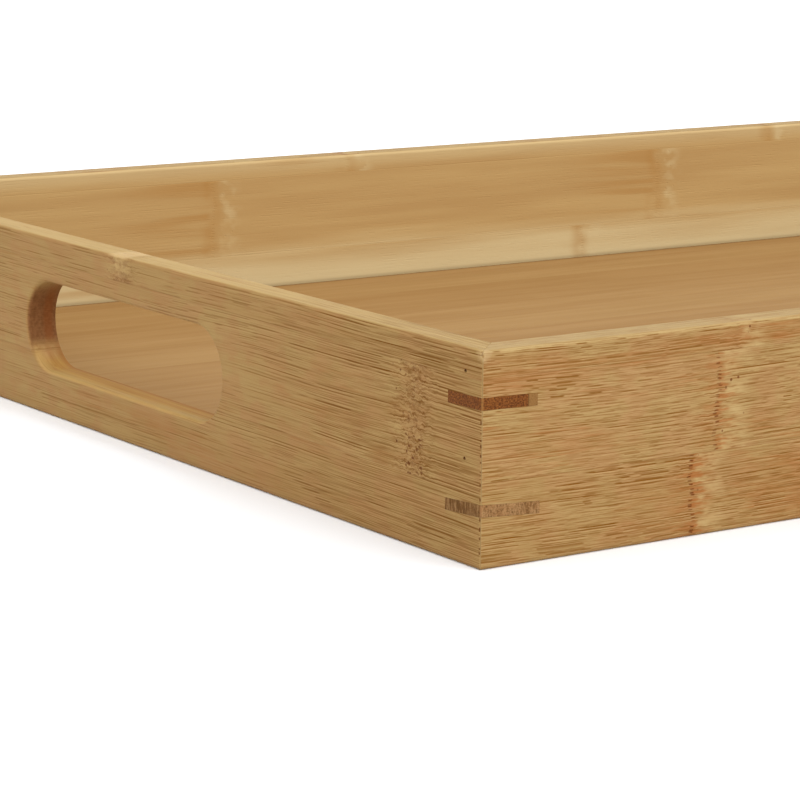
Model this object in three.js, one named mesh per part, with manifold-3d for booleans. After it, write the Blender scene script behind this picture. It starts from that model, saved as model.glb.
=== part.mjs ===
// Rectangular bamboo serving tray: four mitred walls, a floor panel set in grooves,
// two flush keys across each mitre, two brads through each corner, and an oblong
// finger slot in each end wall.
// Millimetres. Origin: middle of the footprint, on the plane the tray stands on.
// +X runs along the length, +Y along the width, +Z is up. The front wall is at -Y.
import * as THREE from "three";
import { mergeVertices } from "three/addons/utils/BufferGeometryUtils.js";
import Module from "manifold-3d";

const wasm = await Module();
wasm.setup();

// ---- driving dimensions ----
const LENGTH = 500; // outside, along X
const WIDTH = 340; // outside, along Y
const HEIGHT = 50; // walls, from the table to the rim
const WALL = 9; // wall thickness
const ARRIS = 1.2; // rounding along the rim and along the foot of each wall
const CORNER_R = 0.5; // rounding of the four upright outside corners
const MITRE_GAP = 0.3; // glue line left open between two mitred ends

const SLOT_LENGTH = 105.6; // finger slot, end to end
const SLOT_SHIFT = 4; // its middle lies this far from the wall's middle, toward the front wall
const SLOT_HEIGHT = 25;
const SLOT_Z = 25; // height of its centre line
const SLOT_ARRIS = 1.2; // rounding of its mouth on the outer face
const SLOT_ARRIS_IN = 0.4; // and on the inner face

const PANEL_TOP = 7.1; // floor's upper face
const PANEL_THICK = 4.5;
const TONGUE_LO = 3.6; // tongue round the floor's edge
const TONGUE_HI = 6.1;
const TONGUE_REACH = 3.7; // how far it enters the wall
const GROOVE_LO = 3.35;
const GROOVE_HI = 6.4;
const GROOVE_DEPTH = 4.0;
const PANEL_GAP = 0.3; // between the floor's face and the walls

const KEY_THICK = 2.8; // flush keys across the mitres
const KEY_REACH_END = { upper: 13.2, lower: 13.9 }; // leg along the end wall's face
const KEY_REACH_LONG = { upper: 15.3, lower: 16.3 }; // leg along the long wall's face
const KEY_Z = { upper: 37.85, lower: 13.25 };
const KEY_RISE = { upper: 0.3, lower: 0.8 }; // the saw ran a little uphill: corner above the tips by this much
const KEY_RUN = 14.5; // ... over this distance along either leg
const KEY_GAP = 0.15; // kerf clearance on every side

const BRAD_R = 0.32; // headless 23 gauge brads, 0.64 mm wire
const BRAD_LENGTH = 18;
const BRAD_POINT = 1.2; // tapered tip
const BRAD_IN = 6.55; // from the outside corner, along the end wall's face
const BRAD_SUNK = 0.35; // blunt end sits below the face
const BRAD_Z = { upper: 44.6, lower: 24.6 };
const BRAD_GAP = 0.15;

// ---- helpers ----
const toSolid = (geometry) => {
  const g = geometry.clone();
  g.deleteAttribute("normal");
  g.deleteAttribute("uv");
  const m = mergeVertices(g, 1e-4);
  return new wasm.Manifold(
    new wasm.Mesh({
      numProp: 3,
      vertProperties: new Float32Array(m.attributes.position.array),
      triVerts: new Uint32Array(m.index.array),
    }),
  );
};

const toGeometry = (solid) => {
  const mesh = solid.getMesh();
  const g = new THREE.BufferGeometry();
  g.setAttribute("position", new THREE.BufferAttribute(new Float32Array(mesh.vertProperties), 3));
  g.setIndex(new THREE.BufferAttribute(new Uint32Array(mesh.triVerts), 1));
  const flat = g.toNonIndexed();
  flat.computeVertexNormals();
  return flat;
};

const shapeOf = (points) => new THREE.Shape(points.map(([x, y]) => new THREE.Vector2(x, y)));

// A plan outline raised from z0 to z1.
const upright = (points, z0, z1) => {
  const g = new THREE.ExtrudeGeometry(shapeOf(points), { depth: z1 - z0, bevelEnabled: false, steps: 1 });
  g.translate(0, 0, z0);
  return toSolid(g);
};

// A section in (inward, up) drawn out along X from x0 to x1; inward is +Y.
const alongX = (section, x0, x1) => {
  const g = new THREE.ExtrudeGeometry(shapeOf(section), { depth: x1 - x0, bevelEnabled: false, steps: 1 });
  g.applyMatrix4(new THREE.Matrix4().makeBasis(new THREE.Vector3(0, 1, 0), new THREE.Vector3(0, 0, 1), new THREE.Vector3(1, 0, 0)));
  g.translate(x0, 0, 0);
  return toSolid(g);
};

const arc = (cx, cy, r, from, to, steps) =>
  Array.from({ length: steps + 1 }, (_, i) => {
    const a = THREE.MathUtils.degToRad(from + ((to - from) * i) / steps);
    return [cx + r * Math.cos(a), cy + r * Math.sin(a)];
  });

// ---- wall section: rounded arrises and the groove for the floor's tongue ----
const wallSection = [
  ...arc(ARRIS, ARRIS, ARRIS, 180, 270, 4),
  ...arc(WALL - ARRIS, ARRIS, ARRIS, 270, 360, 4),
  [WALL, GROOVE_LO],
  [WALL - GROOVE_DEPTH, GROOVE_LO],
  [WALL - GROOVE_DEPTH, GROOVE_HI],
  [WALL, GROOVE_HI],
  ...arc(WALL - ARRIS, HEIGHT - ARRIS, ARRIS, 0, 90, 4),
  ...arc(ARRIS, HEIGHT - ARRIS, ARRIS, 90, 180, 4),
];

// Plan outline of one wall of a given run: a trapezium with 45 degree mitred ends whose
// outside corners take half of the corner rounding. x is along the wall, y inward.
const wallPlan = (run) => {
  const s = MITRE_GAP * Math.SQRT1_2;
  const c = CORNER_R;
  const near = arc(c, c, c, 225, 270, 3);
  near[0][0] += s;
  const left = near.map(([x, y], i) => (i === 0 ? [x, y] : [Math.max(x, near[0][0]), y]));
  const right = left.map(([x, y]) => [run - x, y]).reverse();
  return [...left, ...right, [run - WALL - s, WALL], [WALL + s, WALL]];
};

// Plan outline of a key: the two face legs, the rounded corner and the long inner edge.
const keyPlan = (alongLong, alongEnd, gap, corner) => [
  ...arc(corner, corner, corner, 180, 270, 6),
  [alongLong + gap, 0],
  [0, alongEnd + gap],
];

// The same wedge, reaching outside the faces, for sawing the kerf.
const kerfPlan = (alongLong, alongEnd, gap) => {
  const a = alongLong + gap * 1.5;
  const b = alongEnd + gap * 1.5;
  const out = 3;
  return [
    [-out, -out],
    [a + (out * a) / b, -out],
    [-out, b + (out * b) / a],
  ];
};

// Leans a key or a kerf, built level in a corner's frame, by the rise of its saw cut.
const lean = (solid, level) => {
  const k = -KEY_RISE[level] / KEY_RUN;
  return solid.transform([1, 0, k, 0, 0, 1, k, 0, 0, 0, 1, 0, 0, 0, KEY_RISE[level] / 2, 1]);
};

// A rod along X made by turning a profile about its axis.
const rodAlongX = (profile, sides) => {
  const g = new THREE.LatheGeometry(profile.map(([r, h]) => new THREE.Vector2(r, h)), sides);
  g.rotateZ(-Math.PI / 2);
  return toSolid(g);
};

// Oblong ring of points for the slot, centred on (0, SLOT_Z), grown outward by d.
const slotOutline = (d) => {
  const r = SLOT_HEIGHT / 2 + d;
  const h = SLOT_LENGTH / 2 - SLOT_HEIGHT / 2;
  return [...arc(h, SLOT_Z, r, -90, 90, 16), ...arc(-h, SLOT_Z, r, 90, 270, 16)];
};

// Cutter for the slot, through a wall whose section runs from y = 0 to WALL, with a
// rounded mouth on both faces: stacked outlines joined into one closed surface.
const slotCutter = () => {
  const n = 4;
  // mouth profile: quarter round, widest at the face
  const mouth = (t) => 1 - Math.sqrt(Math.max(0, 1 - (1 - t) * (1 - t)));
  const ys = [];
  ys.push([-2, SLOT_ARRIS]);
  for (let i = 0; i <= n; i++) {
    const t = 1 - Math.cos((Math.PI / 2) * (i / n));
    ys.push([SLOT_ARRIS * t, SLOT_ARRIS * mouth(t)]);
  }
  for (let i = n; i >= 0; i--) {
    const t = 1 - Math.cos((Math.PI / 2) * (i / n));
    ys.push([WALL - SLOT_ARRIS_IN * t, SLOT_ARRIS_IN * mouth(t)]);
  }
  ys.push([WALL + 2, SLOT_ARRIS_IN]);
  const count = slotOutline(0).length;
  const positions = [];
  for (const [y, d] of ys) for (const [x, z] of slotOutline(d)) positions.push(x, y, z);
  const index = [];
  for (let k = 0; k < ys.length - 1; k++)
    for (let i = 0; i < count; i++) {
      const j = (i + 1) % count;
      const a = k * count + i, b = k * count + j, c = a + count, d = b + count;
      index.push(a, c, b, b, c, d);
    }
  const cap = (k, flip) => {
    const base = k * count;
    for (let i = 1; i < count - 1; i++)
      flip ? index.push(base, base + i + 1, base + i) : index.push(base, base + i, base + i + 1);
  };
  cap(0, false);
  cap(ys.length - 1, true);
  const g = new THREE.BufferGeometry();
  g.setAttribute("position", new THREE.BufferAttribute(new Float32Array(positions), 3));
  g.setIndex(index);
  let solid = toSolid(g);
  if (solid.volume() < 0) {
    for (let i = 0; i < index.length; i += 3) [index[i + 1], index[i + 2]] = [index[i + 2], index[i + 1]];
    g.setIndex(index);
    solid = toSolid(g);
  }
  return solid;
};

// ---- materials ----
const bamboo = (colour, roughness) => new THREE.MeshStandardMaterial({ color: colour, roughness, metalness: 0 });
const WALL_COLOUR = 0xb98f58;
const PANEL_COLOUR = 0xb48a57;
const KEY_DARK = 0x84502f;
const KEY_PALE = 0x97683f;
const STEEL = 0x6f5a48;

const tray = new THREE.Group();
const put = (parent, name, solid, material) => {
  const mesh = new THREE.Mesh(toGeometry(solid), material);
  mesh.name = name;
  parent.add(mesh);
  return mesh;
};

// ---- one wall, in its own frame: outside face on y = 0, starting at x = 0 ----
// endWall: carries the finger slot and the brads' blunt ends; the other pair takes their points.
// slotShift: how far the slot's middle lies from the middle of the run.
const buildWall = (run, endWall, slotShift = 0) => {
  let body = alongX(wallSection, -5, run + 5).intersect(upright(wallPlan(run), -5, HEIGHT + 5));
  for (const [level, z] of Object.entries(KEY_Z)) {
    const legAlong = endWall ? KEY_REACH_END[level] : KEY_REACH_LONG[level];
    const legAcross = endWall ? KEY_REACH_LONG[level] : KEY_REACH_END[level];
    const z0 = z - KEY_THICK / 2 - KEY_GAP;
    const z1 = z + KEY_THICK / 2 + KEY_GAP;
    const near = lean(upright(kerfPlan(legAlong, legAcross, KEY_GAP), z0, z1), level);
    body = body.subtract(near).subtract(near.mirror([1, 0, 0]).translate([run, 0, 0]));
  }
  const r = BRAD_R + BRAD_GAP;
  const deep = BRAD_SUNK + BRAD_LENGTH + BRAD_GAP;
  for (const z of Object.values(BRAD_Z)) {
    if (endWall) {
      // brads enter through this wall's outside face, square to it, along +Y
      const hole = rodAlongX([[0, -1], [r, -1], [r, WALL + 1], [0, WALL + 1]], 12).rotate([0, 0, 90]);
      body = body.subtract(hole.translate([BRAD_IN, 0, z])).subtract(hole.translate([run - BRAD_IN, 0, z]));
    } else {
      // points run into this wall's mitred ends, along X
      const hole = rodAlongX([[0, 0], [r, 0], [r, deep], [0, deep]], 12);
      body = body
        .subtract(hole.translate([0, BRAD_IN, z]))
        .subtract(hole.rotate([0, 0, 180]).translate([run, BRAD_IN, z]));
    }
  }
  if (endWall) body = body.subtract(slotCutter().translate([run / 2 + slotShift, 0, 0]));
  return body;
};

const longWall = buildWall(LENGTH, false);
const leftWall = buildWall(WIDTH, true, SLOT_SHIFT);
const rightWall = buildWall(WIDTH, true, -SLOT_SHIFT);

const wallMaterial = bamboo(WALL_COLOUR, 0.5);
const front = put(tray, "front_wall", longWall, wallMaterial.clone());
front.position.set(-LENGTH / 2, -WIDTH / 2, 0);
const back = put(tray, "back_wall", longWall, wallMaterial.clone());
back.rotation.z = Math.PI;
back.position.set(LENGTH / 2, WIDTH / 2, 0);
const left = put(tray, "left_end_wall", leftWall, wallMaterial.clone());
left.rotation.z = -Math.PI / 2;
left.position.set(-LENGTH / 2, WIDTH / 2, 0);
const right = put(tray, "right_end_wall", rightWall, wallMaterial.clone());
right.rotation.z = Math.PI / 2;
right.position.set(LENGTH / 2, -WIDTH / 2, 0);

// ---- floor panel: a board with a thinner tongue all round ----
const board = (hx, hy, z0, z1) => {
  const g = new THREE.BoxGeometry(2 * hx, 2 * hy, z1 - z0);
  g.translate(0, 0, (z0 + z1) / 2);
  return toSolid(g);
};
const innerX = LENGTH / 2 - WALL;
const innerY = WIDTH / 2 - WALL;
put(
  tray,
  "floor_panel",
  board(innerX - PANEL_GAP, innerY - PANEL_GAP, PANEL_TOP - PANEL_THICK, PANEL_TOP).add(
    board(innerX + TONGUE_REACH, innerY + TONGUE_REACH, TONGUE_LO, TONGUE_HI),
  ),
  bamboo(PANEL_COLOUR, 0.55),
);

// ---- keys and brads at the four corners ----
// A corner's frame has its origin on the outside corner, x along the long wall, y along the end wall.
const brad = rodAlongX(
  [[0, 0], [BRAD_R, 0], [BRAD_R, BRAD_LENGTH - BRAD_POINT], [0.08, BRAD_LENGTH], [0, BRAD_LENGTH]],
  12,
);
const corners = [
  { name: "front_left", sx: 1, sy: 1 },
  { name: "front_right", sx: -1, sy: 1 },
  { name: "back_left", sx: 1, sy: -1 },
  { name: "back_right", sx: -1, sy: -1 },
];
for (const { name, sx, sy } of corners) {
  const ox = (-sx * LENGTH) / 2;
  const oy = (-sy * WIDTH) / 2;
  for (const level of ["upper", "lower"]) {
    const z = KEY_Z[level];
    let key = upright(keyPlan(KEY_REACH_LONG[level], KEY_REACH_END[level], 0, CORNER_R), z - KEY_THICK / 2, z + KEY_THICK / 2);
    key = lean(key, level);
    if (sx < 0) key = key.mirror([1, 0, 0]);
    if (sy < 0) key = key.mirror([0, 1, 0]);
    put(tray, `corner_key_${name}_${level}`, key, bamboo(level === "upper" ? KEY_DARK : KEY_PALE, 0.6)).position.set(ox, oy, 0);
    const nail = put(
      tray,
      `corner_brad_${name}_${level}`,
      sx < 0 ? brad.rotate([0, 0, 180]) : brad,
      new THREE.MeshStandardMaterial({ color: STEEL, roughness: 0.55, metalness: 0.8 }),
    );
    nail.position.set(ox + sx * BRAD_SUNK, oy + sy * BRAD_IN, BRAD_Z[level]);
  }
}

export default tray;
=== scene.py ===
import math

import bmesh
import bpy
from mathutils import Matrix, Vector, noise


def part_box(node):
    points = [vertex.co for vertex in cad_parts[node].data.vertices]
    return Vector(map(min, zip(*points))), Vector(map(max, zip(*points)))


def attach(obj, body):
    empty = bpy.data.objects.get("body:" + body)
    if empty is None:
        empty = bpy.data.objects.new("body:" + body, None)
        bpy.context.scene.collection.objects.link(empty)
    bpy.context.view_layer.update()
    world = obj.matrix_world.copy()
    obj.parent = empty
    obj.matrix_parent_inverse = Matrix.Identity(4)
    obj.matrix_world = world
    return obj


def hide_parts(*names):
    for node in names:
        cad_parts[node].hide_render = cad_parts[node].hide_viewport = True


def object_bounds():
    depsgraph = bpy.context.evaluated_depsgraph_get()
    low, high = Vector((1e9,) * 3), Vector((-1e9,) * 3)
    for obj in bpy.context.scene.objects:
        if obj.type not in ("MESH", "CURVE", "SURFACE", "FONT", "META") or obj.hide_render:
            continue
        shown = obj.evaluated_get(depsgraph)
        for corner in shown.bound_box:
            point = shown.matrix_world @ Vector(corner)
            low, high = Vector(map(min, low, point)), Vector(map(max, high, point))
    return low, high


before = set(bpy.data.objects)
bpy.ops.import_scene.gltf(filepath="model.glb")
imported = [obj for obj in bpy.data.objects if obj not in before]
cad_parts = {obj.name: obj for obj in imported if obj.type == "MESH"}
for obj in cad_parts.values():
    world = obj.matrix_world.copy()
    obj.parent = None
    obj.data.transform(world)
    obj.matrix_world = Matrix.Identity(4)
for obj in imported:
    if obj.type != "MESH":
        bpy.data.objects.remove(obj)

MM = 0.001
CAD_LO, CAD_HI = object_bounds()
L = (CAD_HI.x - CAD_LO.x) / MM  # outside length, mm
W = (CAD_HI.y - CAD_LO.y) / MM
H = CAD_HI.z / MM
_lo, _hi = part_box("front_wall")
T = (_hi.y - _lo.y) / MM  # wall thickness
_lo, _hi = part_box("floor_panel")
PANEL_BOTTOM, PANEL_TOP = _lo.z / MM, _hi.z / MM
TONGUE_X, TONGUE_Y = _hi.x / MM, _hi.y / MM
GROOVE_LO, GROOVE_HI, GROOVE_DEPTH = 3.5, 6.2, 4.0
TONGUE_LO, TONGUE_HI = 3.6, 6.1
ARRIS, CORNER_R = 1.2, 0.5
SLOT_L, SLOT_H, SLOT_Z, SLOT_SHIFT = 105.6, 25.0, 25.0, 4.0
SLOT_R, SLOT_R_IN = 1.25, 0.45  # rounding of the slot's mouth, outside and inside
KEY_THICK, KEY_RUN, KEY_RISE = 2.8, 14.5, {"upper": 0.3, "lower": 0.8}
KEYS = {}
for _lvl in ("upper", "lower"):
    _a, _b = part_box("corner_key_front_left_" + _lvl)
    _leg_long, _leg_end = (_b.x - _a.x) / MM, (_b.y - _a.y) / MM
    # the saw ran uphill, so the key's corner stands above its tips: middle height of the level key
    _mid = (_a.z + _b.z) / 2 / MM - KEY_RISE[_lvl] / 2 + KEY_RISE[_lvl] / KEY_RUN * (CORNER_R * (2 - math.sqrt(2)) + _leg_long) / 2
    KEYS[_lvl] = (_mid - KEY_THICK / 2, _mid + KEY_THICK / 2, _leg_long, _leg_end)
BRADS = {}
for _lvl in ("upper", "lower"):
    _a, _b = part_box("corner_brad_front_left_" + _lvl)
    BRADS[_lvl] = ((_a.y + _b.y) / 2 / MM + W / 2, (_a.z + _b.z) / 2 / MM)

scene = bpy.context.scene
coll = scene.collection


# ------------------------------------------------------------------ mesh helpers
def obj_from_bm(bm, name):
    bmesh.ops.recalc_face_normals(bm, faces=bm.faces)
    me = bpy.data.meshes.new(name)
    bm.to_mesh(me)
    bm.free()
    ob = bpy.data.objects.new(name, me)
    coll.objects.link(ob)
    return ob


def arc(cx, cy, r, a0, a1, n):
    return [
        (cx + r * math.cos(math.radians(a0 + (a1 - a0) * i / n)), cy + r * math.sin(math.radians(a0 + (a1 - a0) * i / n)))
        for i in range(n + 1)
    ]


def loft(rings, closed_caps=True):
    """Rings of equal length, each a list of (x, y, z) in mm, joined into one closed surface."""
    bm = bmesh.new()
    vs = [[bm.verts.new(Vector(p) * MM) for p in ring] for ring in rings]
    n = len(rings[0])
    for k in range(len(rings) - 1):
        for i in range(n):
            j = (i + 1) % n
            bm.faces.new((vs[k][i], vs[k][j], vs[k + 1][j], vs[k + 1][i]))
    if closed_caps:
        bm.faces.new(list(reversed(vs[0])))
        bm.faces.new(vs[-1])
    return bm


def prism(points, z0, z1, name):
    return obj_from_bm(loft([[(x, y, z0) for x, y in points], [(x, y, z1) for x, y in points]]), name)


def cut(ob, cutters):
    """Subtracts each cutter from ob and removes it."""
    for c in cutters:
        m = ob.modifiers.new("cut", "BOOLEAN")
        m.operation, m.object, m.solver = "DIFFERENCE", c, "EXACT"
    bpy.context.view_layer.update()
    dg = bpy.context.evaluated_depsgraph_get()
    me = bpy.data.meshes.new_from_object(ob.evaluated_get(dg))
    old = ob.data
    ob.modifiers.clear()
    ob.data = me
    bpy.data.meshes.remove(old)
    for c in cutters:
        bpy.data.objects.remove(c)
    return ob


def smooth(ob, angle=38, weighted=True):
    me = ob.data
    for p in me.polygons:
        p.use_smooth = True
    me.set_sharp_from_angle(angle=math.radians(angle))
    if weighted:
        m = ob.modifiers.new("weighted", "WEIGHTED_NORMAL")
        m.keep_sharp = True
        m.weight = 100
        m.mode = "FACE_AREA"
    return ob


# ------------------------------------------------------------------ walls
def wall_section(r_to, r_ti, r_bo, r_bi):
    """(inward, up) outline of a wall, with its four eased arrises and the groove for the floor's tongue."""
    pts = []
    pts += arc(r_bo, r_bo, r_bo, 180, 270, 7)
    pts += arc(T - r_bi, r_bi, r_bi, 270, 360, 7)
    pts += [(T, GROOVE_LO), (T - GROOVE_DEPTH, GROOVE_LO), (T - GROOVE_DEPTH, GROOVE_HI), (T, GROOVE_HI)]
    pts += arc(T - r_ti, H - r_ti, r_ti, 0, 90, 7)
    pts += arc(r_to, H - r_to, r_to, 90, 180, 7)
    return pts


def wall_mesh(name, run, seed):
    g = 0.03  # half of the glue line
    s0 = CORNER_R * (1 - math.sqrt(0.5))
    near = [s0 + (CORNER_R - s0) * i / 6 for i in range(7)]
    near += [1.1, 1.6, 2.4, 3.4, 4.6, 6.0, 7.4, T + 0.2, 10.5, 13.0]
    mid = []
    x = 16.0
    while x < run - 15.9:
        mid.append(x)
        x += (run - 32.0) / round((run - 32.0) / 6.0)
    stations = near + mid + [run - x for x in reversed(near)]

    def ease(base, x, k):
        # hand-eased arrises: the radius drifts a little along the wall, and settles at the mitres
        e = min(1.0, max(0.0, min(x, run - x) - T - 1.5) / 25.0)
        return base * (1 + 0.16 * e * noise.noise(Vector((x / 23.0, seed * 3.1 + k, 0.0))) + 0.08 * e * noise.noise(Vector((x / 6.0, seed + k, 4.0))))

    rings = []
    for s in stations:
        sec = wall_section(ease(ARRIS, s, 0), ease(ARRIS * 0.95, s, 9), ease(ARRIS, s, 17), ease(ARRIS * 0.8, s, 31))
        d = min(s, run - s)
        depth = 0.0
        if d < CORNER_R:
            depth = CORNER_R - math.sqrt(max(0.0, CORNER_R**2 - (CORNER_R - d) ** 2))
        ring = []
        for y, z in sec:
            yy = max(y, depth)
            xx = max(d, yy + g)
            ring.append((xx if s <= run / 2 else run - xx, yy, z))
        rings.append(ring)
    bm = loft(rings)
    bmesh.ops.remove_doubles(bm, verts=bm.verts, dist=0.0004 * MM)
    bmesh.ops.dissolve_degenerate(bm, edges=bm.edges, dist=0.0004 * MM)
    bmesh.ops.triangulate(bm, faces=[f for f in bm.faces if len(f.verts) > 4], ngon_method="EAR_CLIP")
    return obj_from_bm(bm, name)


def lean(level, x, y):
    """How far a key's faces stand above the level, at (x, y) from the outside corner."""
    return KEY_RISE[level] * (0.5 - (x + y) / KEY_RUN)


def kerf(level, z0, z1, along, across, gap, far, run):
    a, b, o = along + gap * 1.5, across + gap * 1.5, 3.0
    pts = [(-o, -o), (a + o * a / b, -o), (-o, b + o * b / a)]
    rings = []
    for z in (z0 - gap, z1 + gap):
        rings.append([(run - x if far else x, y, z + lean(level, x, y)) for x, y in pts])
    return obj_from_bm(loft(rings), "kerf")


def rod(profile, n, name, matrix):
    """A turned rod: profile is (radius, along) in mm, the axis is local +X."""
    bm = bmesh.new()
    rings = []
    for r, h in profile:
        rings.append([bm.verts.new(matrix @ (Vector((h, r * math.cos(2 * math.pi * i / n), r * math.sin(2 * math.pi * i / n))) * MM)) for i in range(n)])
    for k in range(len(rings) - 1):
        for i in range(n):
            j = (i + 1) % n
            bm.faces.new((rings[k][i], rings[k][j], rings[k + 1][j], rings[k + 1][i]))
    bm.faces.new(rings[0])
    bm.faces.new(rings[-1])
    return obj_from_bm(bm, name)


def slot_cutter(centre):
    n = 7
    quarter = [(1 - math.cos(math.pi / 2 * i / n), 1 - math.sin(math.pi / 2 * i / n)) for i in range(n + 1)]
    ys = [(-2.0, SLOT_R)] + [(SLOT_R * y, SLOT_R * d) for y, d in quarter]
    ys += [(T - SLOT_R_IN * y, SLOT_R_IN * d) for y, d in reversed(quarter)] + [(T + 2.0, SLOT_R_IN)]
    rings = []
    for y, d in ys:
        r = SLOT_H / 2 + d
        h = SLOT_L / 2 - SLOT_H / 2
        out = arc(h, SLOT_Z, r, -90, 90, 40) + arc(-h, SLOT_Z, r, 90, 270, 40)
        rings.append([(centre + x, y, z) for x, z in out])
    return obj_from_bm(loft(rings), "slot_cut")


def build_wall(node, run, end, seed, place):
    ob = wall_mesh(node + "_shaped", run, seed)
    cutters = []
    for level, (z0, z1, leg_long, leg_end) in KEYS.items():
        a, b = (leg_end, leg_long) if end else (leg_long, leg_end)
        for far in (False, True):
            cutters.append(kerf(level, z0, z1, a, b, 0.03, far, run))
    for inset, z in BRADS.values():
        if end:
            for x in (inset, run - inset):
                m = Matrix.Translation(Vector((x, -1, z)) * MM) @ Matrix.Rotation(math.pi / 2, 4, "Z")
                cutters.append(rod([(0.46, 0), (0.44, T + 2)], 20, "brad_hole", m))
        else:
            for flip in (False, True):
                m = Matrix.Translation(Vector((run if flip else 0, inset, z)) * MM)
                if flip:
                    m = m @ Matrix.Rotation(math.pi, 4, "Z")
                cutters.append(rod([(0.44, 0), (0.44, 18.6)], 20, "brad_hole", m))
    if end:
        cutters.append(slot_cutter(run / 2 + end * SLOT_SHIFT))
    cut(ob, cutters)
    ob.data.transform(place)
    smooth(ob)
    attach(ob, "root")
    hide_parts(node)
    return ob


def place(x, y, turn):
    return Matrix.Translation(Vector((x, y, 0)) * MM) @ Matrix.Rotation(turn, 4, "Z")


front = build_wall("front_wall", L, 0, 1, place(-L / 2, -W / 2, 0))
back = build_wall("back_wall", L, 0, 2, place(L / 2, W / 2, math.pi))
left = build_wall("left_end_wall", W, 1, 3, place(-L / 2, W / 2, -math.pi / 2))
right = build_wall("right_end_wall", W, -1, 4, place(L / 2, -W / 2, math.pi / 2))


# ------------------------------------------------------------------ floor panel
def build_floor():
    gx, gy = L / 2 - T - 0.06, W / 2 - T - 0.06
    e = 0.25
    spec = [
        (gx - e, gy - e, PANEL_BOTTOM), (gx - e * 0.3, gy - e * 0.3, PANEL_BOTTOM + e * 0.3), (gx, gy, PANEL_BOTTOM + e),
        (gx, gy, TONGUE_LO), (TONGUE_X - 0.2, TONGUE_Y - 0.2, TONGUE_LO), (TONGUE_X, TONGUE_Y, TONGUE_LO + 0.2),
        (TONGUE_X, TONGUE_Y, TONGUE_HI - 0.2), (TONGUE_X - 0.2, TONGUE_Y - 0.2, TONGUE_HI), (gx, gy, TONGUE_HI),
        (gx, gy, PANEL_TOP - e), (gx - e * 0.3, gy - e * 0.3, PANEL_TOP - e * 0.3), (gx - e, gy - e, PANEL_TOP),
    ]
    rings = [[(-x, -y, z), (x, -y, z), (x, y, z), (-x, y, z)] for x, y, z in spec]
    ob = obj_from_bm(loft(rings), "floor_panel_board")
    smooth(ob, 30)
    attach(ob, "root")
    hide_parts("floor_panel")
    return ob


floor_board = build_floor()

# ------------------------------------------------------------------ keys and brads
CORNERS = {"front_left": (1, 1), "front_right": (-1, 1), "back_left": (1, -1), "back_right": (-1, -1)}


def build_key(corner, level):
    sx, sy = CORNERS[corner]
    z0, z1, leg_long, leg_end = KEYS[level]
    pts = arc(CORNER_R, CORNER_R, CORNER_R, 180, 270, 10)
    # the legs carry a few points each so that the hand-sanded faces can dip a hair between the corner and the tips
    for t in (0.2, 0.45, 0.7, 0.9):
        pts.append((CORNER_R + (leg_long - CORNER_R) * t, 0.012 * math.sin(math.pi * t)))
    pts += [(leg_long, 0.02), (leg_long - 0.25, 0.24)]
    pts += [(0.24, leg_end - 0.2), (0.02, leg_end)]
    for t in (0.9, 0.7, 0.45, 0.2):
        pts.append((0.012 * math.sin(math.pi * t), CORNER_R + (leg_end - CORNER_R) * t))
    ox, oy = -sx * L / 2, -sy * W / 2
    rings = []
    for z, inset in ((z0, 0.03), (z0 + 0.05, 0.0), (z1 - 0.05, 0.0), (z1, 0.03)):
        ring = []
        for x, y in pts:
            k = 1 - inset / 8.0
            ring.append((ox + sx * (x * k + inset * 0.6), oy + sy * (y * k + inset * 0.6), z + lean(level, x, y)))
        rings.append(ring)
    ob = obj_from_bm(loft(rings), "key_%s_%s" % (corner, level))
    smooth(ob, 40, weighted=False)
    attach(ob, "root")
    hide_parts("corner_key_%s_%s" % (corner, level))
    return ob


def build_brad(corner, level):
    sx, sy = CORNERS[corner]
    inset, z = BRADS[level]
    lo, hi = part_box("corner_brad_%s_%s" % (corner, level))
    length = (hi.x - lo.x) / MM
    r = (hi.z - lo.z) / 2 / MM
    start = lo.x if sx > 0 else hi.x
    m = Matrix.Translation(Vector((start, (lo.y + hi.y) / 2, (lo.z + hi.z) / 2)))
    if sx < 0:
        m = m @ Matrix.Rotation(math.pi, 4, "Z")
    prof = [(r * 0.55, 0.0), (r * 0.85, 0.03), (r, 0.1), (r, 0.6), (r * 0.98, 0.9), (r, 1.2), (r, length - 1.2), (r * 0.55, length - 0.5), (0.06, length)]
    ob = rod(prof, 20, "brad_%s_%s" % (corner, level), m)
    smooth(ob, 50, weighted=False)
    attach(ob, "root")
    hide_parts("corner_brad_%s_%s" % (corner, level))
    return ob


keys = {(c, l): build_key(c, l) for c in CORNERS for l in ("upper", "lower")}
brads = {(c, l): build_brad(c, l) for c in CORNERS for l in ("upper", "lower")}


# ------------------------------------------------------------------ materials
def lin(r, g, b):
    f = lambda v: (v / 255 / 12.92) if v / 255 <= 0.04045 else ((v / 255 + 0.055) / 1.055) ** 2.4
    return (f(r), f(g), f(b), 1.0)


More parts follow.
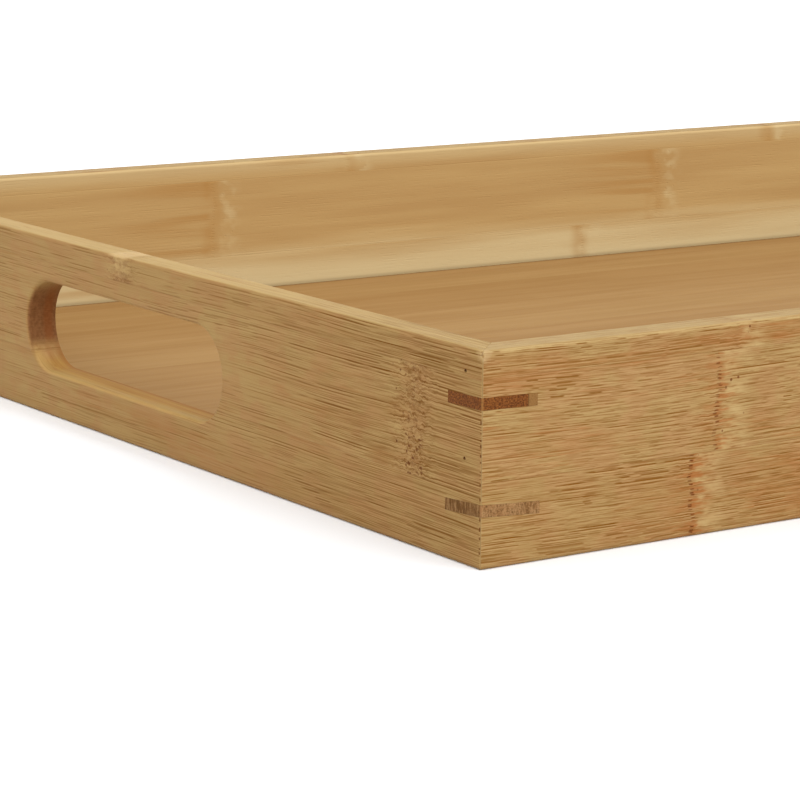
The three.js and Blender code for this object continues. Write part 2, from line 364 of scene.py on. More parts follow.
class Shade:
    """Small helper for writing a node material as arithmetic."""

    def __init__(self, name):
        self.mat = bpy.data.materials.new(name)
        self.mat.use_nodes = True
        self.nt = self.mat.node_tree
        self.nt.nodes.clear()
        self.out = self.nt.nodes.new("ShaderNodeOutputMaterial")
        self.bsdf = self.nt.nodes.new("ShaderNodeBsdfPrincipled")
        self.nt.links.new(self.bsdf.outputs["BSDF"], self.out.inputs["Surface"])
        self.tc = self.nt.nodes.new("ShaderNodeTexCoord")

    def put(self, sock, v):
        if isinstance(v, bpy.types.NodeSocket):
            self.nt.links.new(v, sock)
        else:
            sock.default_value = v

    def m(self, op, a, b=0.0, c=0.0, clamp=False):
        n = self.nt.nodes.new("ShaderNodeMath")
        n.operation, n.use_clamp = op, clamp
        for i, v in enumerate((a, b, c)):
            self.put(n.inputs[i], v)
        return n.outputs[0]

    def add(self, a, b): return self.m("ADD", a, b)
    def sub(self, a, b): return self.m("SUBTRACT", a, b)
    def mul(self, a, b): return self.m("MULTIPLY", a, b)
    def mad(self, a, b, c): return self.m("MULTIPLY_ADD", a, b, c)

    def xyz(self, x, y, z):
        n = self.nt.nodes.new("ShaderNodeCombineXYZ")
        for i, v in enumerate((x, y, z)):
            self.put(n.inputs[i], v)
        return n.outputs[0]

    def sep(self, v):
        n = self.nt.nodes.new("ShaderNodeSeparateXYZ")
        self.put(n.inputs[0], v)
        return n.outputs[0], n.outputs[1], n.outputs[2]

    def noise(self, x, y, z, detail=2.0, rough=0.5, dist=0.0):
        n = self.nt.nodes.new("ShaderNodeTexNoise")
        n.inputs["Scale"].default_value = 1.0
        n.inputs["Detail"].default_value = detail
        n.inputs["Roughness"].default_value = rough
        n.inputs["Distortion"].default_value = dist
        self.put(n.inputs["Vector"], self.xyz(x, y, z))
        return n.outputs["Fac"]

    def white(self, x, y=0.0):
        n = self.nt.nodes.new("ShaderNodeTexWhiteNoise")
        n.noise_dimensions = "2D"
        self.put(n.inputs["Vector"], self.xyz(x, y, 0.0))
        return n.outputs["Value"]

    def cells(self, x, y, z, rand=1.0):
        n = self.nt.nodes.new("ShaderNodeTexVoronoi")
        n.inputs["Scale"].default_value = 1.0
        n.inputs["Randomness"].default_value = rand
        self.put(n.inputs["Vector"], self.xyz(x, y, z))
        return n.outputs["Distance"]

    def step(self, v, lo, hi, to0=0.0, to1=1.0):
        n = self.nt.nodes.new("ShaderNodeMapRange")
        n.interpolation_type = "SMOOTHSTEP"
        n.clamp = True
        for k, x in (("Value", v), ("From Min", lo), ("From Max", hi), ("To Min", to0), ("To Max", to1)):
            self.put(n.inputs[k], x)
        return n.outputs["Result"]

    def mix(self, f, a, b, mode="MIX"):
        n = self.nt.nodes.new("ShaderNodeMix")
        n.data_type, n.blend_type = "RGBA", mode
        n.clamp_factor = True
        self.put(n.inputs[0], f)
        self.put(n.inputs[6], a)
        self.put(n.inputs[7], b)
        return n.outputs[2]

    def bump(self, height, strength, distance):
        n = self.nt.nodes.new("ShaderNodeBump")
        n.inputs["Strength"].default_value = strength
        n.inputs["Distance"].default_value = distance
        self.put(n.inputs["Height"], height)
        self.put(self.bsdf.inputs["Normal"], n.outputs["Normal"])

    def scaled(self, v, k):
        return self.m("MULTIPLY", v, k)


def bamboo(name, along, a_off, strips, palette, seed, contrast=1.0, corner=None, width=None, spacing=262.0, pale_top=0.78, inner=None, knurl=0.0, stretch=1.0, node_pale=0.5, clumps=0.9, calm=None, rim=(0.45, 0.95), stains=(), embers=0.0):
    """Laminated bamboo. along is the axis the fibres follow. strips is a list of (seam height, culm node's place, tint, how
    marked the node is), lowest first; width gives an even run of strips instead. a runs along the fibres, b across the strips and c through them, in mm."""
    S = Shade(name)
    x, y, z = S.sep(S.tc.outputs["Object"])
    nx, ny, nz = S.sep(S.tc.outputs["Normal"])
    if along == "X":
        a, ca, na = S.mad(x, 1000.0, a_off), y, nx
    else:
        a, ca, na = S.mad(y, 1000.0, a_off), x, ny
    if width:
        b, c = S.mad(y, 1000.0, 400.0), S.mul(z, 1000.0)
    else:
        b, c = S.mul(z, 1000.0), S.mul(ca, 1000.0)
    light, mid, deep, dark, red, rust, pale = palette
    so = seed * 11.7
    chalk = (pale[0] * 1.16, pale[1] * 1.16, pale[2] * 1.4, 1.0)
    rust_dark = (rust[0] * 0.36, rust[1] * 0.22, rust[2] * 0.08, 1.0)
    line = (dark[0] * 1.12, dark[1] * 1.22, dark[2] * 0.3, 1.0)
    gold = (light[0] * 1.24, light[1] * 1.04, light[2] * 0.5, 1.0)
    # the colour of painted highlights: light flecks and lines beside the dark ones
    highlight_tint = (light[0] * 1.12, light[1] * 1.08, light[2] * 1.16, 1.0)

    # which strip, where its seam runs, and where its culm node lies
    if width:
        bw = S.m("DIVIDE", b, width)
        sid = S.m("FLOOR", bw)
        fr = S.m("FRACT", bw)
        edge = S.mul(S.m("MINIMUM", fr, S.sub(1.0, fr)), width)
        a0 = S.mul(S.white(sid, seed + 0.5), spacing)
        tint = S.mul(S.sub(S.white(S.add(sid, seed), 3.0), 0.5), 0.6)
        bold = 0.5
    else:
        wob = S.mul(S.sub(S.noise(S.mul(a, 1 / 60), seed, 0.0, 1.0), 0.5), 0.6)
        bb = S.add(b, wob)
        sid, a0, edge, tint, bold = None, strips[0][1], None, strips[0][2], strips[0][3]
        for i in range(1, len(strips)):
            over = S.m("GREATER_THAN", bb, strips[i][0])
            sid = over if sid is None else S.add(sid, over)
            a0 = S.mad(over, strips[i][1] - strips[i - 1][1], a0)
            tint = S.mad(over, strips[i][2] - strips[i - 1][2], tint)
            bold = S.mad(over, strips[i][3] - strips[i - 1][3], bold)
            dist = S.m("ABSOLUTE", S.sub(bb, strips[i][0]))
            edge = dist if edge is None else S.m("MINIMUM", edge, dist)
    off = S.mul(sid, 17.3)

    # distance past the node, ragged from row to row
    d = S.m("WRAP", S.sub(a, a0), spacing / 2, -spacing / 2)
    d = S.add(d, S.mul(S.sub(S.noise(S.mul(b, 0.16), S.mul(c, 0.16), S.add(off, seed), 1.0), 0.5), 4.0))
    ad = S.m("ABSOLUTE", d)
    near = S.step(ad, 1.5, 8.0, 1.0, 0.0)

    # the fibres wander gently, and swirl at the node
    wander = S.mul(S.sub(S.noise(S.mul(a, 1 / 80), S.mul(b, 1 / 22), S.add(S.mul(c, 1 / 22), seed), 1.0), 0.5), 2.2)
    swirl = S.mul(S.mul(S.sub(S.noise(S.mul(a, 0.42), S.mul(b, 0.55), S.add(S.mul(c, 0.5), seed + 7.0), 2.0), 0.5), S.step(ad, 3.0, 13.0, 1.0, 0.0) if knurl else near), 0.7 + 0.9 * knurl)
    bf = S.add(S.add(b, wander), swirl)
    cf = S.add(S.add(c, S.mul(wander, 0.6)), off)
    if knurl:
        tight = S.step(ad, 2.2, 5.5, 1.0, 0.0)
        bf = S.add(bf, S.mul(S.mul(S.sub(S.noise(S.mul(a, 1.5), S.mul(b, 1.0), S.mul(c, 1.0), 1.5), 0.5), tight), 1.3 * knurl))

    def fibre(la, lb, shift, detail=2.0, rough=0.5):
        return S.noise(S.mad(a, 1 / la, shift + so), S.mad(bf, 1 / lb, shift), S.mul(cf, 1 / lb), detail, rough)

    # rows of vascular bundles. On level faces the rows lie side by side through the wall's thickness instead
    flat = S.m("GREATER_THAN", S.m("ABSOLUTE", nz), 0.72)
    q = S.add(S.mul(bf, S.sub(1.0, flat)), S.mul(S.add(cf, 60.0), flat)) if not width else S.add(bf, 0.0)
    qo = S.add(q, S.mul(off, 3.0))

    def rows(pitch, half, shift):
        t = S.mad(qo, 1 / pitch, shift)
        rid = S.m("FLOOR", t)
        j = S.mad(S.white(rid, seed + shift), 0.6, 0.2)
        over = S.mul(S.sub(S.m("FRACT", t), j), pitch)
        thick = S.mad(S.white(rid, seed + shift + 9.0), half * 0.9, half * 0.55)
        # the row itself, which row it is, and a painted highlight just under it
        return S.step(S.sub(S.m("ABSOLUTE", over), thick), -half * 0.6, half * 0.4, 1.0, 0.0), rid, S.step(S.m("ABSOLUTE", S.add(over, half * 1.1 + 0.17)), 0.07, 0.19, 1.0, 0.0)

    def flecks(la, lb, shift, lo, hi, detail=1.0):
        n = S.noise(S.mad(a, 1 / (la * stretch), shift + so), S.mad(qo, 1 / lb, shift), S.mul(cf, 0.4), detail, 0.5)
        return S.step(n, lo, hi)

    clump_row, rid1, under1 = rows(1.06, 0.155, 0.37)
    long_row, rid2, under2 = rows(0.83, 0.115, 5.61)
    thin_row, rid3, under3 = rows(0.52, 0.085, 9.13)
    # dashes: neighbouring rows start and stop together, give or take a millimetre
    clump = S.noise(S.add(S.mad(a, 1 / (6.4 * stretch), so), S.mul(S.white(rid1, 2.0), 0.55)), S.mad(b, 1 / 8.0, 3.0), S.mul(cf, 1 / 8.0), 1.3, 0.5)
    patchy = S.step(S.noise(S.mad(a, 1 / 34, so + 5.0), S.mul(b, 1 / 11.0), S.mul(cf, 1 / 11.0), 2.0), 0.36, 0.62)
    inked1 = S.mul(S.step(clump, 0.50, 0.58), S.mul(S.mad(patchy, 0.5, 0.5), S.mad(S.white(rid1, 21.0), 0.55, 0.45)))
    dashes = S.mul(clump_row, inked1)
    runs = S.noise(S.add(S.mul(a, 1 / (13 * stretch)), S.mul(S.white(rid2, 4.0), 57.0)), S.mul(rid2, 1.7), seed, 1.5)
    inked2 = S.mul(S.step(runs, 0.51, 0.62), S.mad(S.white(rid2, 22.0), 0.6, 0.4))
    long_lines = S.mul(long_row, inked2)
    highlight_under_lines = S.m("MAXIMUM", S.mul(under1, inked1), S.mul(under2, inked2))
    bits = S.noise(S.add(S.mul(a, 1 / (8.0 * stretch)), S.mul(S.white(rid3, 6.0), 57.0)), S.mul(rid3, 1.7), seed, 2.0)
    thin_lines = S.mul(thin_row, S.step(bits, 0.40, 0.6))
    hairs = S.mul(flecks(6.5, 0.36, 211.0, 0.53, 0.62), S.mad(patchy, 0.55, 0.45))
    threads = flecks(17.0, 0.28, 307.0, 0.53, 0.63)
    glints = flecks(7.0, 0.30, 401.0, 0.54, 0.66)

    broad = fibre(85.0, 6.5, 0.0, 2.0)
    medium = fibre(60.0, 4.5, 31.0, 2.0, 0.5) if width else fibre(26.0, 1.5, 31.0, 3.0, 0.55)
    grainy = S.noise(S.mul(a, 1.1), S.mul(qo, 4.5), S.mul(cf, 1.5), 2.0, 0.6)
    # soft patches, no longer than they are high, that drift between a greenish and a pinkish tan
    hue = S.noise(S.mad(a, 1 / 8.5, so + 9.0), S.mad(bf, 1 / 6.5, 4.0), S.mul(cf, 1 / 7.0), 2.0, 0.5)

    past = S.mul(S.step(d, 0.8, 2.4), S.step(d, 5.5, 12.5, 1.0, 0.0))
    blot = S.step(S.noise(S.mul(a, 0.14), S.mul(bf, 0.42), S.mul(c, 0.3), 2.5, 0.6), 0.36, 0.64)
    pale_zone = S.mul(S.mul(past, blot), 1.0 - 0.4 * min(knurl, 1.0))
    red_zone = S.mul(S.step(d, -9.0, -1.5), S.step(d, 4.5, 8.5, 1.0, 0.0))
    red_zone = S.mul(red_zone, S.mad(S.step(S.noise(S.mul(a, 0.12), S.mul(bf, 0.6), S.mul(c, 0.3), 2.0), 0.44, 0.62), 0.9, 0.1))
    red_zone = S.mul(S.mul(red_zone, bold), 1.0 - 0.75 * min(knurl, 1.0))
    quiet = S.sub(1.0, S.mul(pale_zone, 0.7))

    col = S.mix(S.step(S.add(S.mul(broad, 0.75), S.mul(medium, 0.25)), 0.34, 0.66), light, mid)
    col = S.mix(S.mul(S.step(hue, 0.40, 0.64), 0.65 * min(contrast * 1.4, 1.0)), col, red)
    col = S.mix(S.m("MAXIMUM", tint, 0.0), col, deep)
    col = S.mix(S.m("MAXIMUM", S.mul(tint, -1.0), 0.0), col, pale)
    # warmer patches, streaked along the fibres: (place, height, half length, half height, strength)
    for pa, pb, ra, rb, k in stains:
        away = S.add(S.m("POWER", S.mad(a, 1 / ra, -pa / ra), 2.0), S.m("POWER", S.mad(bf, 1 / rb, -pb / rb), 2.0))
        col = S.mix(S.mul(S.mul(S.step(away, 1.3, 0.1), S.mad(S.step(medium, 0.4, 0.6), 0.55, 0.45)), k), col, rust)
    # the rim's upward faces are paler: partly the strips' own paler cut edges, partly painted light from above
    top = S.step(b, 44.0, 46.0)
    if pale_top:
        col = S.mix(S.mul(S.mul(S.step(nz, rim[0], rim[1]), top), pale_top), col, pale)
        # the finger slot's lower face: golden in the middle of the wall, browner toward the inside. The lighter, golden
        # colour of its upward faces is partly the strips' own paler top edges and partly painted light from above, with
        # a painted highlight along the outer edge
        depth = S.sub(W / 2 if along == "X" else L / 2, S.m("ABSOLUTE", c))
        upward = S.mul(S.step(nz, 0.3, 0.8), S.sub(1.0, top))
        ragged = S.add(depth, S.mul(S.sub(broad, 0.5), 6.0))
        level = S.step(nz, 0.72, 0.98, 0.15, 1.0)
        col = S.mix(S.mul(S.mul(upward, S.sub(1.0, level)), S.step(depth, 7.5, 4.0, 0.1, 0.5)), col, lin(192, 148, 100))
        col = S.mix(S.mul(S.mul(upward, S.step(depth, 4.5, 1.5)), 0.45), col, (pale[0], pale[1] * 0.94, pale[2] * 0.7, 1.0))
        col = S.mix(S.mul(S.mul(upward, S.step(ragged, 1.0, 4.5)), S.mul(level, 0.64)), col, gold)
        col = S.mix(S.mul(S.mul(upward, S.step(S.m("ABSOLUTE", S.sub(ragged, 5.2)), 1.3, 0.2)), 0.3), col, rust)
        col = S.mix(S.mul(S.mul(upward, S.step(depth, 6.0, 8.2)), 0.6), col, rust)
    col = S.mix(S.mul(S.step(medium, 0.5, 0.7), 0.13 * contrast), col, deep)
    if embers:
        # here and there a run of fibres has taken an orange cast
        glowing = S.mul(S.step(fibre(16.0, 0.75, 77.0, 2.0), 0.52, 0.66), S.step(S.noise(S.mad(a, 1 / 30, so + 3.0), S.mul(b, 1 / 9.0), S.mul(cf, 1 / 9.0), 1.5), 0.42, 0.62))
        col = S.mix(S.mul(glowing, embers), col, rust)
    col = S.mix(S.mul(red_zone, 0.65 * min(contrast, 1.0)), col, rust)
    col = S.mix(S.mul(pale_zone, node_pale), col, pale)
    faint = S.mad(flat, -0.45, 1.0) if pale_top else 1.0
    ink = S.mul(S.mul(quiet, contrast), faint)
    fine_ink = ink
    if calm:
        hush = S.step(a, calm[0], calm[1], 1.0, calm[2])
        ink, fine_ink = S.mul(ink, hush), S.mul(S.mul(ink, hush), hush)
    # painted highlights: short light flecks among the fibres
    col = S.mix(S.mul(S.mul(glints, fine_ink), 0.5), col, highlight_tint)
    col = S.mix(S.mul(S.mul(thin_lines, fine_ink), 0.42), col, line)
    col = S.mix(S.mul(S.mul(threads, fine_ink), 0.36), col, line)
    col = S.mix(S.mul(S.mul(hairs, fine_ink), 0.5 * clumps), col, line)
    # painted highlight: a light line just under the dashes and the long lines
    col = S.mix(S.mul(S.mul(highlight_under_lines, ink), 0.8), col, highlight_tint)
    col = S.mix(S.mul(S.mul(long_lines, ink), 0.95), col, line)
    if knurl:
        # the dashes thicken toward the knotted fibres
        dashes = S.m("MAXIMUM", dashes, S.mul(S.mul(clump_row, S.step(ad, 9.0, 3.0)), S.step(clump, 0.4, 0.5)))
    col = S.mix(S.mul(S.mul(dashes, ink), clumps), col, line)
    col = S.mix(S.mul(S.mul(S.step(grainy, 0.4, 0.72), 0.2), ink), col, deep)

    # the node itself: a tick at every row, ragged, with a few pores beyond
    bold_row, rid4, under4 = rows(0.93, 0.165, 0.37)
    wide_row, rid5, under5 = rows(0.93, 0.30, 0.37)
    jit = S.mul(S.sub(S.white(rid4, 12.0), 0.5), 0.7)
    tick = S.mul(bold_row, S.step(S.m("ABSOLUTE", S.add(d, jit)), 0.3, 0.85, 1.0, 0.0))
    tick = S.mul(S.mul(tick, S.step(S.white(rid4, 15.0), 0.0, 0.35, 0.5, 1.0)), bold)
    # short rusty bars run on from some of the ticks
    stop = S.mad(S.white(rid4, 33.0), 6.5, -0.8)
    bars = S.mul(S.mul(wide_row, S.step(d, -0.3, 0.3)), S.mul(S.step(S.sub(d, stop), -1.4, 0.3, 1.0, 0.0), bold))
    col = S.mix(S.mul(bars, 0.7 * min(contrast, 1.0) * (1.0 - 0.8 * min(knurl, 1.0))), col, rust)
    col = S.mix(S.mul(tick, 0.85 * min(contrast, 1.0) * (1.0 - 0.45 * min(knurl, 1.0))), col, rust_dark)
    cell = S.cells(S.mul(a, 0.37), S.mul(b, 0.37), S.mul(c, 0.37))
    pores = S.mul(S.mul(S.step(cell, 0.1, 0.17, 1.0, 0.0), S.step(d, 1.0, 2.4)), S.step(d, 7.0, 10.0, 1.0, 0.0))
    col = S.mix(S.mul(pores, 0.8 * contrast), col, rust_dark)
    marks = S.add(tick, pores)
    if knurl:
        # here the fibres are knotted: curled dark marks about a millimetre apart, each with a light fleck beside it, a
        # painted highlight
        zone = S.step(S.add(ad, S.mul(S.sub(S.noise(S.mul(a, 0.3), S.mul(b, 0.3), S.mul(c, 0.3), 2.0), 0.5), 7.0)), 2.2, 5.2, 1.0, 0.0)
        zone = S.mul(zone, S.mul(bold, S.step(b, 34.0, 25.0, 0.3, 1.0)))
        wa = S.mul(S.sub(S.noise(S.mul(a, 0.9), S.mul(b, 0.9), S.mul(c, 0.5), 2.0), 0.5), 1.5)
        wb = S.mul(S.sub(S.noise(S.mul(a, 0.9), S.mad(b, 0.9, 31.0), S.mul(c, 0.5), 2.0), 0.5), 1.1)
        mark = S.step(S.cells(S.mul(S.add(a, wa), 0.5), S.mul(S.add(b, wb), 0.9), S.mul(c, 0.4), 0.95), 0.24, 0.4, 1.0, 0.0)
        fleck = S.step(S.cells(S.mul(S.add(S.add(a, wa), 0.75), 0.62), S.mul(S.add(b, wb), 0.86), S.mul(c, 0.4), 0.85), 0.2, 0.42, 1.0, 0.0)
        col = S.mix(S.mul(S.step(S.add(ad, S.mul(blot, 2.0)), 7.5, 2.0), 0.25 * knurl), col, red)
        around = S.mul(S.step(S.add(ad, S.mul(S.sub(S.noise(S.mul(a, 0.15), S.mul(b, 0.2), S.mul(c, 0.2), 2.0), 0.5), 10.0)), 12.0, 3.0), bold)
        knot = S.noise(S.mul(S.mad(wa, 1.3, a), 0.30), S.mul(S.mad(wb, 1.0, bf), 1.9), S.mul(c, 0.5), 1.5, 0.55)
        # painted highlight on the light side of the knotted fibres, dark lines on the other
        col = S.mix(S.mul(S.mul(S.step(knot, 0.47, 0.34), around), 0.42 * knurl), col, highlight_tint)
        col = S.mix(S.mul(S.mul(S.step(knot, 0.53, 0.66), around), 0.6 * knurl), col, line)
        col = S.mix(S.mul(S.mul(fleck, zone), 0.5 * knurl), col, highlight_tint)
        col = S.mix(S.mul(S.mul(mark, zone), 0.72 * knurl), col, rust_dark)
        # painted highlight: paler on the top of the wall at the knot
        col = S.mix(S.mul(S.mul(S.step(ad, 6.0, 2.0), S.mul(top, S.mad(blot, 0.6, 0.4))), 0.5), col, pale)
        # at the rim the knot is a pale patch, a painted highlight of a slight bump, with a brown curl under it
        curl = S.mul(S.mul(S.step(S.noise(S.mul(a, 0.34), S.mul(b, 0.5), S.add(S.mul(c, 0.34), 11.0), 2.0), 0.44, 0.58), S.step(ad, 7.5, 3.0)), S.mul(S.step(b, 40.5, 43.6), S.step(nz, 0.7, 0.4)))
        curl = S.mul(curl, S.step(b, 38.0, 41.0))
        bump = S.mul(S.mul(S.step(S.m("ABSOLUTE", S.sub(d, 2.0)), 6.0, 2.5), S.step(nz, 0.45, 0.85)), S.step(b, 47.0, 48.5))
        col = S.mix(S.mul(curl, 0.24 * knurl), col, rust_dark)
        col = S.mix(S.mul(bump, 0.55 * knurl), col, chalk)
        marks = S.add(marks, S.add(S.mul(S.mul(mark, zone), 0.7), S.mul(S.mul(knot, around), 0.8)))

    seam = S.step(edge, 0.05, 0.22, 1.0, 0.0)
    col = S.mix(S.mul(seam, 0.16), col, dark)
    height = S.add(S.mul(medium, 0.5), S.add(S.mul(dashes, -0.5), S.add(S.mul(long_lines, -0.35), S.add(S.mul(marks, -0.8), S.mul(seam, -0.5)))))
    # end grain goes dark: partly its own darker colour, partly painted shade on the slot's shadowed ends; faces turned
    # up, which get light, are left out
    grain = S.mul(S.step(S.m("ABSOLUTE", na), 0.35, 0.9), S.step(nz, 0.34, 0.66, 1.0, 0.0))
    speck = S.noise(S.mul(b, 1.2), S.mul(c, 1.2), S.mul(a, 0.2), 2.0)
    end_grain_and_shade = S.mix(S.step(speck, 0.3, 0.7), lin(126, 82, 49), lin(108, 68, 38))
    # a redder band near the inside face of the wall
    end_grain_and_shade = S.mix(S.mul(S.step(S.m("ABSOLUTE", S.sub(S.m("ABSOLUTE", c), (W if along == "X" else L) / 2 - 6.4)), 2.2, 0.6), 0.55), end_grain_and_shade, lin(124, 64, 26))
    col = S.mix(S.mul(grain, 0.92), col, end_grain_and_shade)
    if inner:
        # the inner face is a calmer figure
        inside = S.step(S.mul(ny if along == "X" else nx, inner[0]), 0.3, 0.7)
        slow = fibre(80.0, 4.5, 61.0, 1.5)
        soft = S.mix(S.step(S.add(S.mul(broad, 0.4), S.mul(slow, 0.6)), 0.3, 0.72), inner[1], inner[2])
        soft = S.mix(S.mul(S.step(S.add(b, S.mul(S.sub(slow, 0.5), 12.0)), 24.0, 9.0), inner[5]), soft, inner[3])
        soft = S.mix(S.mul(S.step(b, 44.0, 49.0), 0.4), soft, inner[3])
        break_up = S.step(S.noise(S.mul(a, 0.11), S.mul(bf, 0.13), seed, 1.5, 0.5), 0.3, 0.62)
        soft = S.mix(S.mul(S.mul(S.step(S.m("ABSOLUTE", S.add(d, 0.8)), 0.2, 6.0, 1.0, 0.0), break_up), 0.42), soft, inner[4])
        soft = S.mix(S.mul(S.mul(S.step(d, 1.8, 4.0), S.step(d, 5.0, 13.0, 1.0, 0.0)), S.mul(S.step(S.noise(S.mul(a, 0.14), S.mul(bf, 0.2), seed + 3.0, 2.0, 0.5), 0.42, 0.66), 0.42)), soft, inner[3])
        soft = S.mix(S.mul(S.mul(S.step(d, -46.0, -8.0), S.step(d, -3.0, 0.0, 1.0, 0.0)), S.mul(S.step(slow, 0.5, 0.68), 0.4)), soft, inner[4])
        soft = S.mix(S.mul(tick, 0.1), soft, inner[4])
        soft = S.mix(S.mul(S.m("MAXIMUM", long_lines, threads), 0.04), soft, inner[4])
        # painted shade: a dark band along the inner face's foot, just above the floor
        soft = S.mix(S.mul(S.step(b, PANEL_TOP + 0.2, PANEL_TOP + 1.4, 1.0, 0.0), 0.3), soft, tuple(v * 0.4 for v in inner[4][:3]) + (1.0,))
        col = S.mix(inside, col, soft)
    if width:
        # painted shade: darker where the floor meets the walls
        wall_x = S.sub(L / 2 - T, S.m("ABSOLUTE", S.mul(x, 1000.0)))
        wall_y = S.sub(W / 2 - T, S.m("ABSOLUTE", S.mul(y, 1000.0)))
        col = S.mix(S.mul(S.step(S.m("MINIMUM", wall_x, wall_y), 0.4, 3.0, 1.0, 0.0), 0.5), col, tuple(v * 0.45 for v in dark[:3]) + (1.0,))
    if corner:
        # at the mitre: open pores and a painted highlight along the paler edge. e is the distance from the wall's end,
        # mm
        e = S.sub(corner[0], S.m("ABSOLUTE", S.sub(a, corner[1])))
        edge_highlight = S.step(e, 0.12, 0.42, 1.0, 0.0)
        col = S.mix(S.mul(edge_highlight, 0.5), col, pale)
        if corner[2]:
            # ends of the fibre bundles, torn open here and there by the saw
            here = S.mul(S.step(b, 2.6, 3.6), S.m("MAXIMUM", S.step(b, 36.5, 34.5), S.step(b, 47.4, 47.8)))
            torn = S.step(S.noise(S.mul(b, 0.9), seed, 0.0, 2.0, 0.7), 0.50, 0.56)
            hole = S.mul(S.mul(S.step(S.m("ABSOLUTE", S.sub(e, 0.4)), 0.08, 0.26, 1.0, 0.0), torn), here)
            col = S.mix(S.mul(hole, 0.85), col, rust_dark)
            height = S.add(height, S.mul(hole, -1.0))
        # the outside top corner is rubbed pale, with a few open pores
        out = S.sub(W / 2, S.m("ABSOLUTE", S.mul(y, 1000.0))) if along == "X" else S.sub(L / 2, S.m("ABSOLUTE", S.mul(x, 1000.0)))
        far = S.m("SQRT", S.add(S.m("POWER", e, 2.0), S.add(S.m("POWER", out, 2.0), S.m("POWER", S.sub(H, b), 2.0))))
        patch = S.step(S.add(far, S.mul(S.noise(S.mul(b, 0.8), S.mul(x, 800.0), S.mul(y, 800.0), 2.0), 2.4)), 4.4, 2.4)
        col = S.mix(S.mul(patch, 0.38), col, chalk)
        pit = S.step(S.cells(S.mul(x, 1100.0), S.mul(y, 1100.0), S.mul(b, 0.6)), 0.16, 0.34, 1.0, 0.0)
        col = S.mix(S.mul(S.mul(patch, pit), 0.6), col, deep)
    S.put(S.bsdf.inputs["Base Color"], col)
    S.put(S.bsdf.inputs["Roughness"], S.add(S.mul(medium, 0.16), S.mad(long_lines, 0.08, 0.46)))
    S.bsdf.inputs["Specular IOR Level"].default_value = 0.04
    S.bump(height, 0.5, 0.00012)
    return S.mat


def key_wood(name, base, streak, speck, corner, gain, filler=None, barred=0.0):
    """A key cut across the corner: its fibres run at 45 degrees to both faces, so each face shows short flecks or bars."""
    sx, sy = corner
    base, streak, speck = tone([base, streak, speck], gain)
    S = Shade(name)
    x, y, z = S.sep(S.tc.outputs["Object"])
    ex = S.sub(L / 2, S.m("ABSOLUTE", S.mul(x, 1000.0)))  # in from the end wall's face
    ey = S.sub(W / 2, S.m("ABSOLUTE", S.mul(y, 1000.0)))
    u = S.mul(S.sub(ex, ey), 0.707)  # across the corner
    v = S.mul(S.add(ex, ey), 0.707)  # in from the corner
    w = S.mul(z, 1000.0)
    soft = S.noise(S.mul(u, 0.35), S.mul(v, 0.35), S.mul(w, 0.6), 2.0)
    fine = S.noise(S.mul(u, 2.2), S.mul(v, 2.2), S.mul(w, 3.4), 2.0, 0.6)
    bars = S.noise(S.mul(u, 2.3), S.mul(v, 0.4), S.mul(w, 0.35), 1.5, 0.5)
    dots = S.step(S.cells(S.mul(u, 1.7), S.mul(v, 1.7), S.mul(w, 1.1)), 0.22, 0.42, 1.0, 0.0)
    col = S.mix(S.step(soft, 0.35, 0.65), base, streak)
    if barred:
        col = S.mix(S.step(u, -0.4, 0.4, 0.55, 0.0), col, speck)
    col = S.mix(S.mul(S.step(fine, 0.47, 0.6), 0.6 if barred else 0.85), col, speck)
    col = S.mix(S.mul(S.step(fine, 0.46, 0.34), 0.3 if barred else 0.5), col, tone([(164, 104, 60)], gain)[0])
    col = S.mix(S.mul(dots, 0.3), col, speck)
    if barred:
        fade = S.m("MAXIMUM", S.mul(S.step(u, -0.5, 0.5, 1.0, 0.16), S.step(S.m("MAXIMUM", ex, ey), 1.0, 8.0, 0.45, 1.0)), S.step(ex, 8.0, 15.0, 0.0, 0.7))
        col = S.mix(S.mul(S.mul(S.step(bars, 0.47, 0.58), barred), fade), col, speck)
        col = S.mix(S.mul(S.step(bars, 0.46, 0.36), 0.35), col, S.mix(0.5, base, tone([(196, 158, 110)], gain)[0]))
        col = S.mix(S.mul(S.mul(dots, S.step(bars, 0.45, 0.6)), 0.5), col, tone([(92, 62, 36)], gain)[0])
    if filler:
        # the tip on the long wall is stopped with a paler filler
        tip = S.step(ex, filler - 0.12, filler + 0.12)
        rim = S.step(S.m("ABSOLUTE", S.sub(ex, filler + 1.55)), 1.05, 1.5)
        col = S.mix(tip, col, S.mix(S.mul(S.m("MAXIMUM", S.mul(rim, 0.9), S.mul(S.step(fine, 0.5, 0.6), 0.35)), 1.0), tone([(147, 109, 78)], gain)[0], tone([(100, 64, 40)], gain)[0]))
    # painted highlight along the corner's edge
    edge_highlight = S.mul(S.step(ex, 0.2, 0.6, 1.0, 0.0), S.step(ey, 0.2, 0.6, 1.0, 0.0))
    col = S.mix(S.mul(edge_highlight, 0.45), col, tone([(176, 130, 92)], gain)[0])
    S.put(S.bsdf.inputs["Base Color"], col)
    S.put(S.bsdf.inputs["Roughness"], S.mad(fine, 0.12, 0.5))
    S.bsdf.inputs["Specular IOR Level"].default_value = 0.04
    S.bump(S.sub(S.mul(fine, 0.4), dots), 0.3, 0.00006)
    return S.mat


def brad_steel(name, bright, dull):
    S = Shade(name)
    x, y, z = S.sep(S.tc.outputs["Object"])
    k = S.noise(S.mul(x, 900.0), S.mul(y, 2500.0), S.mul(z, 2500.0), 3.0)
    S.put(S.bsdf.inputs["Base Color"], S.mix(S.step(k, 0.4, 0.65), lin(*bright), lin(*dull)))
    S.put(S.bsdf.inputs["Roughness"], S.mad(k, 0.3, 0.45))
    S.bsdf.inputs["Metallic"].default_value = 0.4
    S.bump(k, 0.3, 0.00003)
    return S.mat


def tone(colours, gain):
    return tuple((lin(*k)[0] * gain[0], lin(*k)[1] * gain[1], lin(*k)[2] * gain[2], 1.0) for k in colours)


